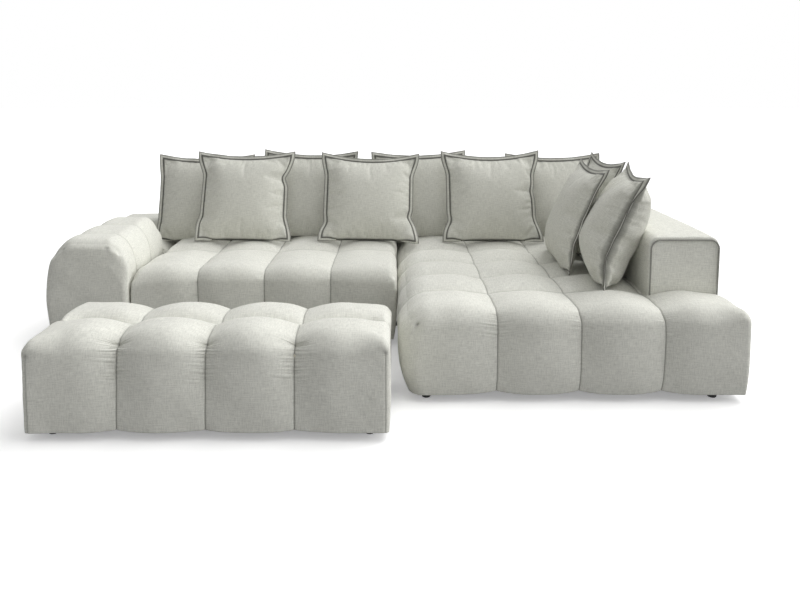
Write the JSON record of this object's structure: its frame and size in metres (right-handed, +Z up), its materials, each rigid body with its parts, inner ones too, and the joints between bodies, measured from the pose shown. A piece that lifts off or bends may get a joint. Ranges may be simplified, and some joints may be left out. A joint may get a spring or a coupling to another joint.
{
  "type": "corner sofa",
  "caption": "Tufted fabric corner sofa with a bolster arm, a chaise with a side block, a free footstool and loose flanged cushions.",
  "frame": {"origin": "on the floor, at the middle of the footprint of the sofa with its footstool", "axes": "+X to the right seen from the front, +Y towards the back, +Z up"},
  "size_m": [3.4761, 2.1719, 1.0107],
  "materials": {
    "upholstery": "matte linen-look weave, pale warm grey",
    "cushion_fabric": "matte linen-look weave, pale warm grey",
    "foam": "open-cell seat foam",
    "timber": "sawn softwood and plywood",
    "webbing": "woven elastic webbing",
    "base_cloth": "black non-woven cloth",
    "feet": "moulded black plastic",
    "steel": "zinc-plated steel"
  },
  "bodies": {
    "sofa": {"arm_base_cloth": "base_cloth", "arm_cover": "upholstery", "arm_panels": "timber", "arm_ties": "timber", "chaise_base_cloth": "base_cloth", "chaise_cover": "upholstery", "chaise_cross_rails": "timber", "chaise_feet": "feet", "chaise_foam": "foam", "chaise_long_rails": "timber", "chaise_webbing": "webbing", "connector_hooks": "steel", "connector_sockets": "steel", "left_back_cover": "upholstery", "left_back_posts": "timber", "left_back_rails": "timber", "right_back_cover": "upholstery", "right_back_posts": "timber", "right_back_rails": "timber", "seat_base_cloth": "base_cloth", "seat_cover": "upholstery", "seat_cross_rails": "timber", "seat_feet": "feet", "seat_foam": "foam", "seat_long_rails": "timber", "seat_webbing": "webbing", "side_block_boards": "timber", "side_block_cover": "upholstery", "side_block_posts": "timber", "side_block_welt": "upholstery", "sofa_foot_screws": "steel"},
    "footstool": {"stool_base_cloth": "base_cloth", "stool_cover": "upholstery", "stool_cross_rails": "timber", "stool_feet": "feet", "stool_foam": "foam", "stool_foot_screws": "steel", "stool_long_rails": "timber", "stool_webbing": "webbing"},
    "front_cushion_1": {"front_cushion_1": "cushion_fabric"},
    "front_cushion_2": {"front_cushion_2": "cushion_fabric"},
    "front_cushion_3": {"front_cushion_3": "cushion_fabric"},
    "rear_cushion_1": {"rear_cushion_1": "cushion_fabric"},
    "rear_cushion_2": {"rear_cushion_2": "cushion_fabric"},
    "rear_cushion_3": {"rear_cushion_3": "cushion_fabric"},
    "rear_cushion_4": {"rear_cushion_4": "cushion_fabric"},
    "side_cushion_1": {"side_cushion_1": "cushion_fabric"},
    "side_cushion_2": {"side_cushion_2": "cushion_fabric"},
    "side_cushion_3": {"side_cushion_3": "cushion_fabric"}
  },
  "joints": [
    {"name": "stool_slide", "type": "slide", "parent": "sofa", "child": "footstool", "axis": [0, 1, 0], "range_m": [-0.6, 0.41]},
    {"name": "front_cushion_1_lift", "type": "slide", "parent": "sofa", "child": "front_cushion_1", "axis": [0, 0.342, 0.9397], "range_m": [0, 0.45]},
    {"name": "front_cushion_2_lift", "type": "slide", "parent": "sofa", "child": "front_cushion_2", "axis": [0, 0.342, 0.9397], "range_m": [0, 0.45]},
    {"name": "front_cushion_3_lift", "type": "slide", "parent": "sofa", "child": "front_cushion_3", "axis": [0, 0.342, 0.9397], "range_m": [0, 0.45]},
    {"name": "rear_cushion_1_lift", "type": "slide", "parent": "sofa", "child": "rear_cushion_1", "axis": [0, 0.342, 0.9397], "range_m": [0, 0.45]},
    {"name": "rear_cushion_2_lift", "type": "slide", "parent": "sofa", "child": "rear_cushion_2", "axis": [0, 0.342, 0.9397], "range_m": [0, 0.45]},
    {"name": "rear_cushion_3_lift", "type": "slide", "parent": "sofa", "child": "rear_cushion_3", "axis": [0, 0.342, 0.9397], "range_m": [0, 0.45]},
    {"name": "rear_cushion_4_lift", "type": "slide", "parent": "sofa", "child": "rear_cushion_4", "axis": [0, 0.342, 0.9397], "range_m": [0, 0.45]},
    {"name": "side_cushion_1_lift", "type": "slide", "parent": "sofa", "child": "side_cushion_1", "axis": [0.354, -0.0561, 0.9336], "range_m": [0, 0.45]},
    {"name": "side_cushion_2_lift", "type": "slide", "parent": "sofa", "child": "side_cushion_2", "axis": [0.3579, -0.0188, 0.9336], "range_m": [0, 0.45]},
    {"name": "side_cushion_3_lift", "type": "slide", "parent": "sofa", "child": "side_cushion_3", "axis": [0.3584, 0, 0.9336], "range_m": [0, 0.45]}
  ]
}
